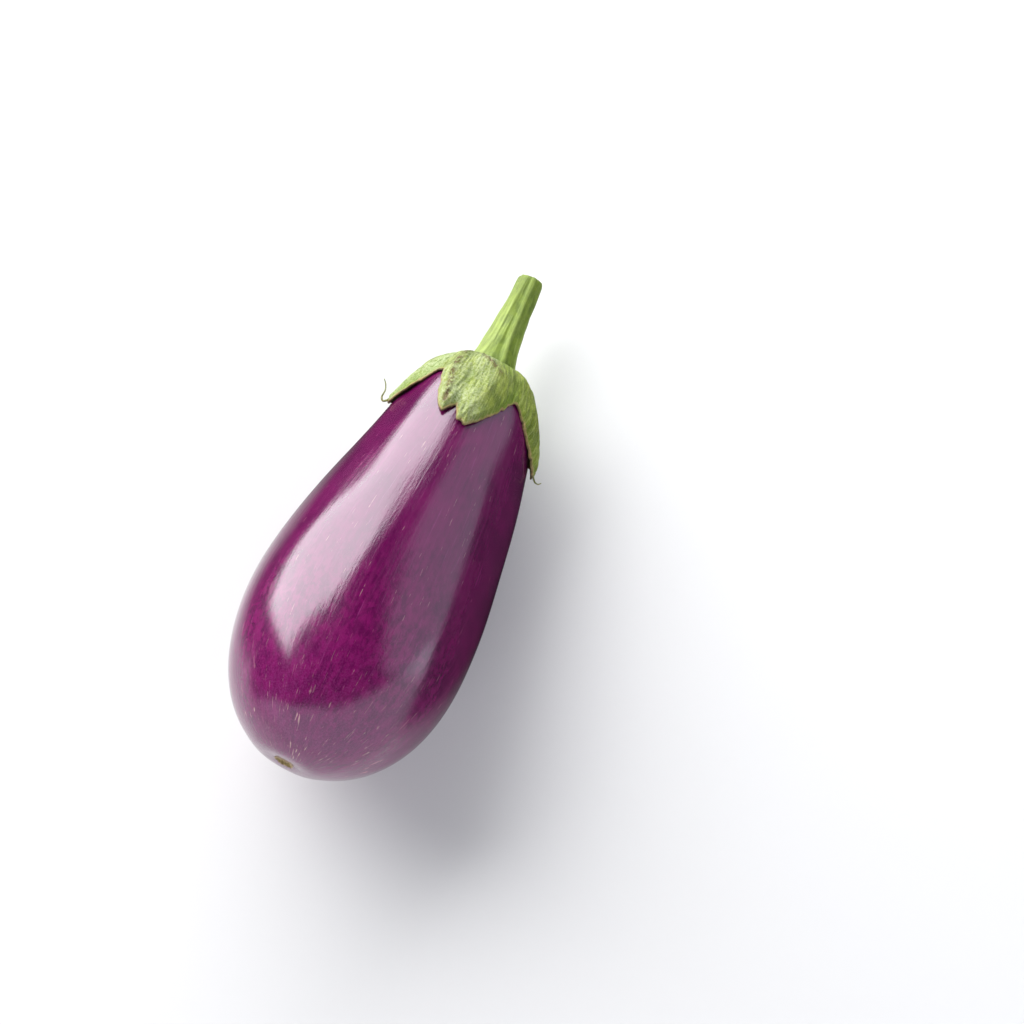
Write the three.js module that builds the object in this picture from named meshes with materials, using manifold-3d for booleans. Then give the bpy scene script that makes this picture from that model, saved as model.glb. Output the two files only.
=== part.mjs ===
// An eggplant as picked, lying on its side: the fruit, the corky scar at its blossom end, the green calyx
// that caps its neck, and the cut stem. Millimetres, +Z up, the stem towards +X, standing on z = 0.
import * as THREE from "three";
import { mergeVertices } from "three/addons/utils/BufferGeometryUtils.js";
import Module from "manifold-3d";

const wasm = await Module();
wasm.setup();

// ---------------------------------------------------------------- driving dimensions
// The fruit, along its own axis from the blossom end (x = 0) to the end that the stem grows from.
const FRUIT_LENGTH = 168;
const BELLY_RADIUS = 42;
const BELLY_AT = 56.5;
const NECK_RADIUS = 27.7;
const NECK_AT = 139;
const BLOSSOM_FULLNESS = 0.6; // how square the round blossom end is; 0.55 is an ellipse
const OVALNESS = 0.012; // the belly is this share wider than it is deep
const NECK_SWAY = 5.8; // the axis bends this far towards -Y, from the belly to the stem
const SMILE_RADIUS = 620; // the axis curves upwards at both ends on this radius
const SCAR_OFFSET = 3.6; // along the skin from the axis to the scar's middle, towards +Y
const DIMPLE_DEPTH = 1.5; // the skin dips round the scar
const DIMPLE_RADIUS = 5.5;
const SCAR_RADIUS = 3.9;
const SCAR_THICKNESS = 0.9;
const FLAT_DEPTH = 0.7; // the belly is pressed in by this much where it lies

// The calyx: five sepals grown together over the neck, the top one forked at its tip.
const GAP = 0.3; // clearance between neighbouring pieces
const SEAT_RADIUS = 8.6; // round top that the stem grows out of
const SEAT_HEIGHT = 2.7; // its height above the fruit's end
const NOTCH_REACH = 30; // along the skin from the fruit's end down to the notches between sepals
const SHOULDER_THICKNESS = 2.3;
const EDGE_THICKNESS = 1.1;
const RIDGE_HEIGHT = 1.3; // midrib of a sepal
// Each tip: the angle that it points to round the axis, from the top towards -Y; how far it spreads to either
// side, in degrees; how far down the fruit it reaches; how blunt it is; and how far its tip stands off the skin.
const SEPAL_TIPS = [
  { turn: -78.75, before: 33, after: 41, reach: 48.5, blunt: 1.3, stands: 1.6 },
  { turn: -11.25, before: 26, after: 20, reach: 49.5, blunt: 1.4, stands: 0.6 },
  { turn: 7.5, before: 29, after: 33, reach: 51, blunt: 1.1, stands: 0.6 },
  { turn: 90, before: 49, after: 30, reach: 52.5, blunt: 1.05, stands: 2.4 },
  { turn: 150, before: 30, after: 32, reach: 48, blunt: 1.2, stands: 0.4 },
  { turn: 213.75, before: 32, after: 35, reach: 49, blunt: 1.2, stands: 0.4 },
];

// The stem.
const STEM_LENGTH = 35.5;
const STEM_RISE = 2; // its cut end bends up by this much
const STEM_SWAY = 0.7; // and towards -Y by this much
const STEM_RADIUS = 4.9; // at the cut
const STEM_FLARE_LENGTH = 5;
const STEM_WAIST_GAIN = 1.7; // it thickens by this much from the cut down to the flare
const STEM_RIBS = 5;
const RIB_SHARE = 0.06;

// How it lies: the fruit tapers, so it rolls back on its belly until the neck points down a little.
const LYING_PITCH = 9.6; // degrees, neck down
const LYING_ROLL = 0; // degrees about the axis, towards +Y

// Facets.
const FRUIT_COLUMNS = 56;
const FRUIT_ROWS = 40;
const CALYX_COLUMNS = 96;
const CALYX_ROWS = 28;
const STEM_COLUMNS = 30;
const STEM_ROWS = 16;
const SCAR_COLUMNS = 24;
const SCAR_ROWS = 8;

const { degToRad, clamp, smoothstep, lerp } = THREE.MathUtils;

// ---------------------------------------------------------------- building tools
// A closed body made from a ball of rings: place(t, turn) gives the point for the share t of the way from the
// first pole to the last, and for the angle turn about the axis.
function ballOfRings(columns, rows, place) {
  const ball = new THREE.SphereGeometry(1, columns, rows);
  const { position, uv } = ball.attributes;
  for (let i = 0; i < position.count; i++) {
    const p = place(1 - uv.getY(i), turnAt(uv.getX(i), uv.getY(i), columns));
    position.setXYZ(i, p.x, p.y, p.z);
  }
  ball.deleteAttribute("normal");
  ball.deleteAttribute("uv");
  return mergeVertices(ball, 1e-3);
}

// The sphere shifts its u by half a column at the poles, where the angle has no meaning.
function turnAt(u, v, columns) {
  const column = v === 0 || v === 1 ? 0 : Math.round(u * columns) % columns;
  return (-2 * Math.PI * column) / columns;
}

// The point at an angle round the axis: turn 0 is up, and a positive turn goes towards -Y.
function ring(x, radius, turn, centre) {
  return new THREE.Vector3(x, centre.y - radius * Math.sin(turn), centre.z + radius * Math.cos(turn));
}

function solidFrom(geometry) {
  const plain = mergeVertices(geometry, 1e-3);
  const mesh = new wasm.Mesh({
    numProp: 3,
    vertProperties: plain.attributes.position.array,
    triVerts: new Uint32Array(plain.index.array),
  });
  return new wasm.Manifold(mesh);
}

function geometryFrom(solid) {
  const { numProp, vertProperties, triVerts } = solid.getMesh();
  const places = [...Array(vertProperties.length / numProp).keys()].flatMap((i) => [
    ...vertProperties.subarray(i * numProp, i * numProp + 3),
  ]);
  return new THREE.BufferGeometry()
    .setAttribute("position", new THREE.Float32BufferAttribute(places, 3))
    .setIndex(new THREE.BufferAttribute(triVerts, 1));
}

// ---------------------------------------------------------------- the fruit's shape
// Half of the fruit's outline, (distance along the axis, radius), from the blossom end to the stem's end: a round
// cap, a long taper and the shoulder.
const point = (x, radius) => new THREE.Vector2(x, radius);
const outline = new THREE.CurvePath();
outline.add(
  new THREE.CubicBezierCurve(
    point(0, 0),
    point(0, BELLY_RADIUS * BLOSSOM_FULLNESS),
    point(BELLY_AT * (1 - BLOSSOM_FULLNESS), BELLY_RADIUS),
    point(BELLY_AT, BELLY_RADIUS),
  ),
);
outline.add(
  new THREE.CubicBezierCurve(
    point(BELLY_AT, BELLY_RADIUS),
    point(BELLY_AT + 24, BELLY_RADIUS),
    point(NECK_AT - 28, NECK_RADIUS + 6.7),
    point(NECK_AT, NECK_RADIUS),
  ),
);
outline.add(
  new THREE.CubicBezierCurve(
    point(NECK_AT, NECK_RADIUS),
    point(NECK_AT + 18, NECK_RADIUS - 4.3),
    point(FRUIT_LENGTH, NECK_RADIUS * 0.66),
    point(FRUIT_LENGTH, 0),
  ),
);
const GIRTH = outline.getLength(); // along the skin from end to end

// Where the fruit's bent axis is at a distance along it.
function axisAt(x) {
  return {
    y: -NECK_SWAY * smoothstep(x, BELLY_AT, FRUIT_LENGTH),
    z: (x - BELLY_AT - 20) ** 2 / (2 * SMILE_RADIUS),
  };
}

// A point of the plain skin: travelled is the distance along the skin from the blossom end.
function skin(travelled, turn) {
  const { x, y: radius } = outline.getPoint(clamp(travelled / GIRTH, 0, 1));
  return ring(x, radius * (1 - OVALNESS * Math.cos(2 * turn)), turn, axisAt(x));
}

// The outward normal of the skin there, from its two slopes.
function skinNormal(travelled, turn) {
  const step = 0.5;
  const from = clamp(travelled, step * 2, GIRTH - step * 2);
  const along = skin(from + step, turn).sub(skin(from - step, turn));
  const around = skin(from, turn + 0.02).sub(skin(from, turn - 0.02));
  return along.cross(around).normalize().negate();
}

function raised(travelled, turn, height) {
  return skin(travelled, turn).addScaledVector(skinNormal(travelled, turn), height);
}

// The rings of the skin close on the scar, which is a little off the axis: the pole of the rings leans over at the
// blossom end and is straight again past the belly.
function fromScar(travelled, turn) {
  const polar = (Math.PI * travelled) / GIRTH;
  const straight = smoothstep(travelled, 0, GIRTH / 2);
  const direction = new THREE.Vector3(
    Math.cos(polar),
    Math.sin(polar) * Math.sin(turn),
    Math.sin(polar) * Math.cos(turn),
  ).applyAxisAngle(new THREE.Vector3(0, 0, 1), (-Math.PI * SCAR_OFFSET * (1 - straight)) / GIRTH);
  return {
    travelled: (GIRTH * Math.acos(clamp(direction.x, -1, 1))) / Math.PI,
    turn: Math.atan2(direction.y, direction.z),
  };
}

// The skin's height over its plain shape at a distance from the scar: a dimple.
const dimple = (distance) => -DIMPLE_DEPTH * Math.exp(-((distance / DIMPLE_RADIUS) ** 2));

function fruitPoint(t, turn) {
  const fine = 0.45; // the rows draw together at both ends
  const distance = GIRTH * (t - (fine * Math.sin(2 * Math.PI * t)) / (2 * Math.PI));
  const at = fromScar(distance, turn);
  return raised(at.travelled, at.turn, dimple(distance));
}

// ---------------------------------------------------------------- the scar's shape
// A thin corky button in the dimple: its face, then its back.
function scarPoint(t, turn) {
  const share = 1 - Math.abs(1 - 2 * t);
  const distance = SCAR_RADIUS * Math.sqrt(share);
  const at = fromScar(distance, turn);
  const back = dimple(distance) + GAP;
  const crown = SCAR_THICKNESS * (1 - 0.35 * share);
  const height = share === 1 ? back + crown / 2 : back + (t < 0.5 ? crown : 0);
  return raised(at.travelled, at.turn, height);
}

// ---------------------------------------------------------------- the calyx's shape
// Its rings run over the underside to the edge, and back over the outside to the seat of the stem.
// How far a turn is from a tip, as a share of the tip's spread on that side: 0 at the tip, 1 and over outside it.
function offTip(tip, turn) {
  const away = THREE.MathUtils.euclideanModulo(THREE.MathUtils.radToDeg(turn) - tip.turn + 180, 360) - 180;
  return Math.min(1, away < 0 ? -away / tip.before : away / tip.after);
}

const tipShare = (tip, turn) => (1 - offTip(tip, turn) ** tip.blunt) ** 1.15;

// How far the calyx reaches down the fruit at an angle.
function reachAt(turn) {
  const over = SEPAL_TIPS.map((tip) => (tip.reach - NOTCH_REACH) * tipShare(tip, turn));
  return NOTCH_REACH + Math.max(...over);
}

function calyxPoint(t, turn) {
  const share = 1 - Math.abs(1 - 2 * t); // 0 at the middle, 1 at the edge
  const outside = t > 0.5;
  const travelled = reachAt(turn) * share ** 0.85;
  const towardsTip = smoothstep(share, 0.35, 1);
  const stands = Math.max(...SEPAL_TIPS.map((tip) => tip.stands * tipShare(tip, turn))) * towardsTip ** 2;
  const ridge =
    RIDGE_HEIGHT * Math.max(...SEPAL_TIPS.map((tip) => 1 - offTip(tip, turn))) * smoothstep(share, 0.2, 0.55);
  const thickness = lerp(SHOULDER_THICKNESS, EDGE_THICKNESS, share) + ridge * (1 - 0.5 * towardsTip);
  const back = GAP + stands;
  const from = GIRTH - travelled;
  if (share === 1) return raised(from, turn, back + EDGE_THICKNESS / 2);
  if (!outside) return raised(from, turn, back);
  if (travelled <= SEAT_RADIUS) return ring(FRUIT_LENGTH + SEAT_HEIGHT, travelled, turn, axisAt(FRUIT_LENGTH));
  const seat = raised(from, turn, thickness);
  const fall = smoothstep(travelled, SEAT_RADIUS, SEAT_RADIUS * 2);
  seat.x = lerp(Math.max(seat.x, FRUIT_LENGTH + SEAT_HEIGHT - (travelled - SEAT_RADIUS) * 0.4), seat.x, fall);
  return seat;
}

// ---------------------------------------------------------------- the stem's shape
const stemFoot = new THREE.Vector3(
  FRUIT_LENGTH + SEAT_HEIGHT + GAP,
  axisAt(FRUIT_LENGTH).y,
  axisAt(FRUIT_LENGTH).z,
);
const stemAxis = new THREE.QuadraticBezierCurve3(
  stemFoot,
  stemFoot.clone().add(new THREE.Vector3(STEM_LENGTH * 0.5, 0, 0)),
  stemFoot.clone().add(new THREE.Vector3(STEM_LENGTH, -STEM_SWAY, STEM_RISE)),
);

// The first and last rows are the two flat ends; the rows between run along the stem.
function stemPoint(t, turn) {
  const row = Math.round(t * STEM_ROWS);
  const share = clamp((row - 1) / (STEM_ROWS - 2), 0, 1) ** 1.4;
  const middle = stemAxis.getPointAt(share);
  const forward = stemAxis.getTangentAt(share);
  const side = new THREE.Vector3(0, -1, 0).addScaledVector(forward, forward.y).normalize();
  const up = side.clone().cross(forward).normalize();
  const flare = Math.exp(-(share * STEM_LENGTH) / STEM_FLARE_LENGTH);
  const plain = STEM_RADIUS + STEM_WAIST_GAIN * (1 - share);
  const foot = SEAT_RADIUS - STEM_RADIUS - STEM_WAIST_GAIN;
  const ribbed = 1 + RIB_SHARE * (1 - share) * (1 - flare) * Math.cos(STEM_RIBS * turn);
  const radius = row === 0 || row === STEM_ROWS ? 0 : (plain + foot * flare) * ribbed;
  return middle.addScaledVector(side, radius * Math.sin(turn)).addScaledVector(up, radius * Math.cos(turn));
}

// ---------------------------------------------------------------- materials
const purple = new THREE.MeshStandardMaterial({ color: 0x5a0f45, roughness: 0.22, metalness: 0 });
const green = new THREE.MeshStandardMaterial({ color: 0x8fa858, roughness: 0.7, metalness: 0 });
const paleGreen = new THREE.MeshStandardMaterial({ color: 0x9ab45c, roughness: 0.6, metalness: 0 });
const cork = new THREE.MeshStandardMaterial({ color: 0xa8966a, roughness: 0.9, metalness: 0 });

// ---------------------------------------------------------------- the parts
function named(name, geometry, material) {
  const mesh = new THREE.Mesh(geometry, material);
  mesh.name = name;
  return mesh;
}

// The belly's flat spot: what would lie under the ground is cut off the fruit.
function pressFlat(geometry, lying) {
  const lowest = new THREE.Box3().setFromBufferAttribute(
    geometry.attributes.position.clone().applyMatrix4(lying),
  ).min.z;
  const height = FRUIT_LENGTH;
  const ground = new THREE.BoxGeometry(FRUIT_LENGTH * 3, FRUIT_LENGTH, height)
    .translate(0, 0, lowest + FLAT_DEPTH - height / 2)
    .applyMatrix4(lying.clone().invert());
  ground.deleteAttribute("normal");
  ground.deleteAttribute("uv");
  return geometryFrom(solidFrom(geometry).subtract(solidFrom(ground)));
}

const eggplant = new THREE.Group();
const lying = new THREE.Group();
lying.rotation.set(degToRad(LYING_ROLL), degToRad(LYING_PITCH), 0);
lying.updateMatrix();
eggplant.add(lying);

const fruitShape = pressFlat(ballOfRings(FRUIT_COLUMNS, FRUIT_ROWS, fruitPoint), lying.matrix);
lying.add(named("fruit", fruitShape, purple));
lying.add(named("blossom_scar", ballOfRings(SCAR_COLUMNS, SCAR_ROWS, scarPoint), cork));
lying.add(named("calyx", ballOfRings(CALYX_COLUMNS, CALYX_ROWS, calyxPoint), green));
lying.add(named("stem", ballOfRings(STEM_COLUMNS, STEM_ROWS, stemPoint), paleGreen));

// The frame's origin is the middle of the underside of the whole part's box.
const box = new THREE.Box3().setFromObject(eggplant, true);
lying.position.set(-(box.min.x + box.max.x) / 2, -(box.min.y + box.max.y) / 2, -box.min.z);

export default eggplant;
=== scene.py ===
"""The looks of an eggplant that lies on its side: the waxy purple fruit, the corky scar at its blossom end,
the green calyx over its neck, and the cut stem.

Shapes are worked out in the fruit's own space, in millimetres: x runs along its axis from the blossom end to
the stem, and a turn is the angle round that axis, in degrees, from the top towards -Y. A distance along the
skin starts at the blossom end, and a reach starts at the stem. Lying then pitches that space as the fruit
lies, and gives metres in the frame.
"""

import logging
from dataclasses import dataclass, field
from enum import Enum
from functools import cached_property

import bpy
import numpy as np
from mathutils import Matrix, Vector

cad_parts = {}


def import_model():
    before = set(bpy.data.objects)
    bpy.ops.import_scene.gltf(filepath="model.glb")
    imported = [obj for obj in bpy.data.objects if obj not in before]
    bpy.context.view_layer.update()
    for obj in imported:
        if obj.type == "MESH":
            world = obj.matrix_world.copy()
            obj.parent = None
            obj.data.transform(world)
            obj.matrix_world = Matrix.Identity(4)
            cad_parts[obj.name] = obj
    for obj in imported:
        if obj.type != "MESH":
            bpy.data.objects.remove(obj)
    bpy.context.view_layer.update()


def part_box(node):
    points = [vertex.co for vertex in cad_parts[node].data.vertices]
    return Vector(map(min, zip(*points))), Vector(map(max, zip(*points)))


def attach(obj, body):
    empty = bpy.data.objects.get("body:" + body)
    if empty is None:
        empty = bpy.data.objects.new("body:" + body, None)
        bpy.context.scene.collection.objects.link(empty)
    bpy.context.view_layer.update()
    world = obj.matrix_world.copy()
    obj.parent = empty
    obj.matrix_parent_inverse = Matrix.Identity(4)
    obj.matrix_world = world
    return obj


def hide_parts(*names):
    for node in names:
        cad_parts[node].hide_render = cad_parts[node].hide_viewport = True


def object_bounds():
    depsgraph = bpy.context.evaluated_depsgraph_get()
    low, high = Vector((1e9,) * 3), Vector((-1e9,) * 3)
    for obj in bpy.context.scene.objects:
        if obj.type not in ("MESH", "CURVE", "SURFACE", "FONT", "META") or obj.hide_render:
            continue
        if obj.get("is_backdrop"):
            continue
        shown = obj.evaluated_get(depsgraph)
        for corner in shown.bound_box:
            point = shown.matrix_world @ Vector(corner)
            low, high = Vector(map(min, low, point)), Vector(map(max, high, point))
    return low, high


log = logging.getLogger("eggplant")

Array = np.ndarray
Colour = tuple[float, float, float]
Socket = bpy.types.NodeSocket
Material = bpy.types.Material
Piece = bpy.types.Object
Knots = tuple[tuple[float, float], ...]
MM = 0.001


class Slot(Enum):
    """The record's material slots."""

    SKIN = "purple_skin"
    SCAR = "scar_cork"
    CALYX = "calyx_green"
    STEM = "stem_green"


class Track(Enum):
    """The values that the meshes carry from point to point, for the finishes to read."""

    GRAIN = "grain"
    END = "from_end"
    EDGE = "from_edge"
    RIDGE = "ridge"
    RIB = "rib"
    CUT = "cut"
    # Pale colour painted on the lit side of the calyx, its threads and the stem: painted light.
    PAINTED_LIGHT = "painted_light"


# ------------------ shape tools


def smoothstep(x: Array, low: float, high: float) -> Array:
    """Rises from 0 at low to 1 at high, level at both ends: 3 s^2 - 2 s^3, where s is the share of the way.

    Args:
        x: The values.
        low: Where the rise starts.
        high: Where it ends.

    Returns:
        The heights, from 0 to 1.
    """
    s = np.clip((x - low) / (high - low), 0.0, 1.0)
    return s * s * (3.0 - 2.0 * s)


def hill(x: Array, middle: Array | float, width: float) -> Array:
    """A bell of height 1 at the middle: e to the power of minus ((x - middle) / width) squared."""
    return np.exp(-(((x - middle) / width) ** 2))


def cubic(points: list[tuple[float, float]], count: int) -> Array:
    """A cubic Bezier curve: its four points weighted by (1-t)^3, 3(1-t)^2 t, 3(1-t)t^2 and t^3.

    Args:
        points: The four control points.
        count: How many points to take along the curve.

    Returns:
        The curve's points, one row each.
    """
    t = np.linspace(0.0, 1.0, count)[:, None]
    a, b, c, d = np.array(points, float)
    return (1 - t) ** 3 * a + 3 * (1 - t) ** 2 * t * b + 3 * (1 - t) * t * t * c + t**3 * d


def from_turn(turn: Array, middle: float) -> Array:
    """How far a turn is past another one, from -180 to 180 degrees."""
    return (turn - middle + 180.0) % 360.0 - 180.0


def grid(rows: Array, columns: int) -> tuple[Array, Array]:
    """Every row's value with every one of evenly spaced turns, as two arrays of rows by columns."""
    return np.meshgrid(rows, np.arange(columns) * 360.0 / columns, indexing="ij")


def ripples(
    seed: int, turn: Array, distance: Array, turns: tuple[int, int], lengths: tuple[float, float]
) -> Array:
    """A smooth random field on a surface, closed round its axis: the sum of 48 cosine waves. Each has a whole
    number of crests round the axis, a length along it and a phase, drawn at random, and the sum is divided by
    the root of 24, so that it swings by about 1.

    Args:
        seed: Fixes the draw.
        turn: Angles round the axis, in degrees.
        distance: Distances along the surface, in millimetres.
        turns: The fewest and the most crests round the axis.
        lengths: The shortest and the longest wave along the surface, in millimetres.

    Returns:
        The field, in the shape of turn and distance together.
    """
    draw = np.random.default_rng(seed)
    count = 48
    crests = draw.integers(turns[0], turns[1] + 1, count) * draw.choice([-1, 1], count)
    pitch = 2 * np.pi / draw.uniform(lengths[0], lengths[1], count)
    phase = draw.uniform(0, 2 * np.pi, count)
    angle = np.radians(turn)
    total = sum(np.cos(c * angle + p * distance + f) for c, p, f in zip(crests, pitch, phase))
    return total / np.sqrt(count / 2)


def unit(vectors: Array) -> Array:
    """The vectors divided by their lengths."""
    return vectors / np.linalg.norm(vectors, axis=-1, keepdims=True)


def in_scene(name: str, data: bpy.types.ID) -> Piece:
    """Makes an object of a mesh, a light or a camera, and links it to the scene.

    Args:
        name: The object's name.
        data: What it shows.

    Returns:
        The new object.
    """
    made = bpy.data.objects.new(name, data)
    bpy.context.scene.collection.objects.link(made)
    return made


def closed_rings(name: str, points: Array, tracks: dict[Track, Array], material: Material) -> Piece:
    """Makes a closed mesh from rings of points, the first and last of which close to one point each, their
    mean. A ring runs right-handedly about the way from the first to the last, so that the faces look
    outwards.

    Args:
        name: The object's name.
        points: Rings by columns by three, in metres.
        tracks: Values for each point, rings by columns, or rings by columns by three.
        material: The finish.

    Returns:
        The new object, linked to the scene.
    """
    rings, columns = points.shape[:2]
    inner = points[1:-1].reshape(-1, 3)
    places = np.vstack([points[0].mean(0), inner, points[-1].mean(0)])
    ring, column = np.meshgrid(np.arange(rings - 3), np.arange(columns), indexing="ij")
    beside = (column + 1) % columns
    start = 1 + ring * columns
    quads = np.stack([start + column, start + beside, start + columns + beside, start + columns + column], -1)
    around = np.arange(columns)
    after = (around + 1) % columns
    end = len(places) - 1
    last = 1 + (rings - 3) * columns
    first_fan = np.stack([np.zeros_like(around), 1 + after, 1 + around], -1)
    last_fan = np.stack([np.full_like(around, end), last + around, last + after], -1)
    mesh = bpy.data.meshes.new(name)
    faces = first_fan.tolist() + quads.reshape(-1, 4).tolist() + last_fan.tolist()
    mesh.from_pydata(places.tolist(), [], faces)
    mesh.polygons.foreach_set("use_smooth", np.ones(len(mesh.polygons), bool))
    for track, values in tracks.items():
        first, final = values[0].mean(0, keepdims=True), values[-1].mean(0, keepdims=True)
        between = values[1:-1].reshape(-1, *values.shape[2:])
        flat = np.concatenate([first, between, final]).astype(np.float32)
        kind = "FLOAT_VECTOR" if flat.ndim == 2 else "FLOAT"
        attribute = mesh.attributes.new(track.value, kind, "POINT")
        attribute.data.foreach_set("vector" if flat.ndim == 2 else "value", flat.ravel())
    mesh.materials.append(material)
    mesh.update()
    return in_scene(name, mesh)


def place_in_frame(piece: Piece, node: str | None = None) -> None:
    """Lets a piece ride on the only body, and stand for its CAD node where it has one.

    Args:
        piece: The finished object.
        node: The CAD node that it replaces.
    """
    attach(piece, "root")
    if node is not None:
        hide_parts(node)
    log.info("%s: %d faces, for %s", piece.name, len(piece.data.polygons), node or "no CAD node")


# ------------------ finishes


def srgb(red: int, green: int, blue: int) -> Colour:
    """A paint chart's colour in the linear light that shaders use.

    Args:
        red: The chart's red, from 0 to 255.
        green: Its green.
        blue: Its blue.

    Returns:
        The colour.
    """
    chart = np.array([red, green, blue]) / 255.0
    linear = np.where(chart <= 0.04045, chart / 12.92, ((chart + 0.055) / 1.055) ** 2.4)
    return tuple(float(v) for v in linear)


class Sketch:
    """A material's node tree, with short ways to add the nodes that the finishes share."""

    def __init__(self, name: str) -> None:
        """Starts a material that holds only its shader and output.

        Args:
            name: The material's name.
        """
        self.material = bpy.data.materials.new(name)
        self.material.use_nodes = True
        self.tree = self.material.node_tree
        self.shader = self.tree.nodes["Principled BSDF"]

    def node(
        self, kind: str, inputs: dict[str | int, object] | None = None, **settings: object
    ) -> bpy.types.Node:
        """Adds a node.

        Args:
            kind: Its type's name.
            inputs: Sockets to link or constants to set, by the input's name or number.
            settings: The node's own options.

        Returns:
            The node.
        """
        made = self.tree.nodes.new(kind)
        for key, value in settings.items():
            setattr(made, key, value)
        for key, value in (inputs or {}).items():
            self.feed(made.inputs[key], value)
        return made

    def feed(self, socket: Socket, value: object) -> None:
        """Links a socket to another node's output, or sets its constant.

        Args:
            socket: The input.
            value: The output, or the constant: a colour goes in without its alpha.
        """
        if isinstance(value, Socket):
            self.tree.links.new(value, socket)
        elif isinstance(value, tuple) and socket.type == "RGBA":
            socket.default_value = (*value, 1.0)
        else:
            socket.default_value = value

    def track(self, track: Track) -> Socket:
        """Reads one of the mesh's own values."""
        name = "Vector" if track is Track.GRAIN else "Fac"
        return self.node("ShaderNodeAttribute", attribute_name=track.value).outputs[name]

    def place(self) -> Socket:
        """The point's place on the object."""
        return self.node("ShaderNodeTexCoord").outputs["Object"]

    def stretched(self, vector: Socket, scale: tuple[float, float, float]) -> Socket:
        """Scales a pattern's vector along its three axes."""
        return self.node("ShaderNodeMapping", {"Vector": vector, "Scale": scale}).outputs[0]

    def noise(
        self, vector: Socket, scale: float, detail: float, roughness: float = 0.55, warp: float = 0.0
    ) -> Socket:
        """Cloudy noise, from 0 to 1, mostly near 0.5.

        Args:
            vector: Where it is read.
            scale: Clouds per unit.
            detail: How many finer layers it has.
            roughness: How strong those are.
            warp: How much the clouds are bent.

        Returns:
            The noise's value.
        """
        inputs = {"Vector": vector, "Scale": scale, "Detail": detail, "Roughness": roughness}
        return self.node("ShaderNodeTexNoise", {**inputs, "Distortion": warp}).outputs["Fac"]

    def ramp(self, value: Socket, low: float, high: float, start: float = 0.0, end: float = 1.0) -> Socket:
        """Maps low to high smoothly onto start to end, and holds both ends.

        Args:
            value: What is mapped.
            low: Where the rise starts.
            high: Where it ends.
            start: The result up to low.
            end: The result from high on.

        Returns:
            The mapped value.
        """
        inputs = {"Value": value, "From Min": low, "From Max": high, "To Min": start, "To Max": end}
        return self.node("ShaderNodeMapRange", inputs, interpolation_type="SMOOTHSTEP").outputs["Result"]

    def sum(self, a: object, b: object) -> Socket:
        """Adds two values."""
        return self.node("ShaderNodeMath", {0: a, 1: b}, operation="ADD").outputs[0]

    def product(self, a: object, b: object) -> Socket:
        """Multiplies two values."""
        return self.node("ShaderNodeMath", {0: a, 1: b}, operation="MULTIPLY").outputs[0]

    def mix(self, share: object, a: object, b: object) -> Socket:
        """A colour between two.

        Args:
            share: How much of b there is, from 0 to 1.
            a: The colour at share 0.
            b: The colour at share 1.

        Returns:
            The mixed colour.
        """
        made = self.node("ShaderNodeMix", data_type="RGBA")
        self.feed(made.inputs["Factor"], share)
        self.feed(made.inputs[6], a)
        self.feed(made.inputs[7], b)
        return made.outputs[2]

    def relief(self, height: Socket, depth: float, under: Socket | None = None) -> Socket:
        """Bends the surface's normal to a height pattern.

        Args:
            height: The pattern, from 0 to 1.
            depth: How deep it is, in metres.
            under: A coarser relief that this one lies on.

        Returns:
            The bent normal.
        """
        inputs = {"Height": height, "Distance": depth, "Strength": 1.0}
        if under is not None:
            inputs["Normal"] = under
        return self.node("ShaderNodeBump", inputs).outputs["Normal"]

    def finish(self, **values: object) -> Material:
        """Sets the shader's inputs.

        Args:
            values: Outputs to link or constants to set, by the input's name with underscores for spaces.

        Returns:
            The finished material.
        """
        for name, value in values.items():
            self.feed(self.shader.inputs[name.replace("_", " ")], value)
        return self.material


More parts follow.
